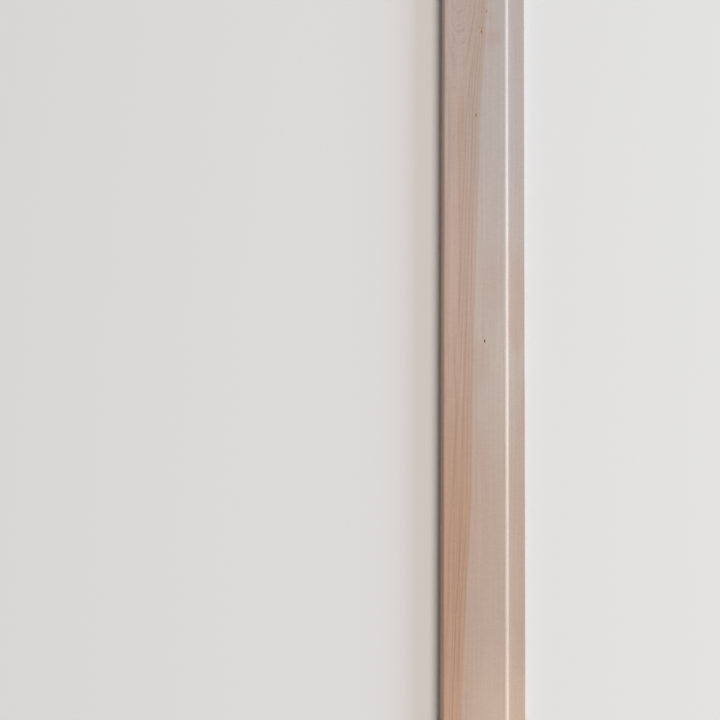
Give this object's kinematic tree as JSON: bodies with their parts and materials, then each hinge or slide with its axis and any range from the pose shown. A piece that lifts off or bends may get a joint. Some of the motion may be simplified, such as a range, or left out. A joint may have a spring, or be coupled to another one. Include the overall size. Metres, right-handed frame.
{
  "type": "tongue and groove lining board",
  "caption": "Flat wooden wall lining board with rounded face edges, a long tongue with a sunk shelf beside the face, and a matching groove.",
  "frame": {"origin": "centre of the board's footprint, in the plane of its back", "axes": "+X across the board from the groove to the tongue, +Y along the board, +Z out of its face"},
  "size_m": [0.096, 1, 0.014],
  "materials": {
    "wood": "planed, unfinished, with a faint satin sheen"
  },
  "bodies": {
    "root": {"lining_board": "wood"}
  },
  "joints": []
}
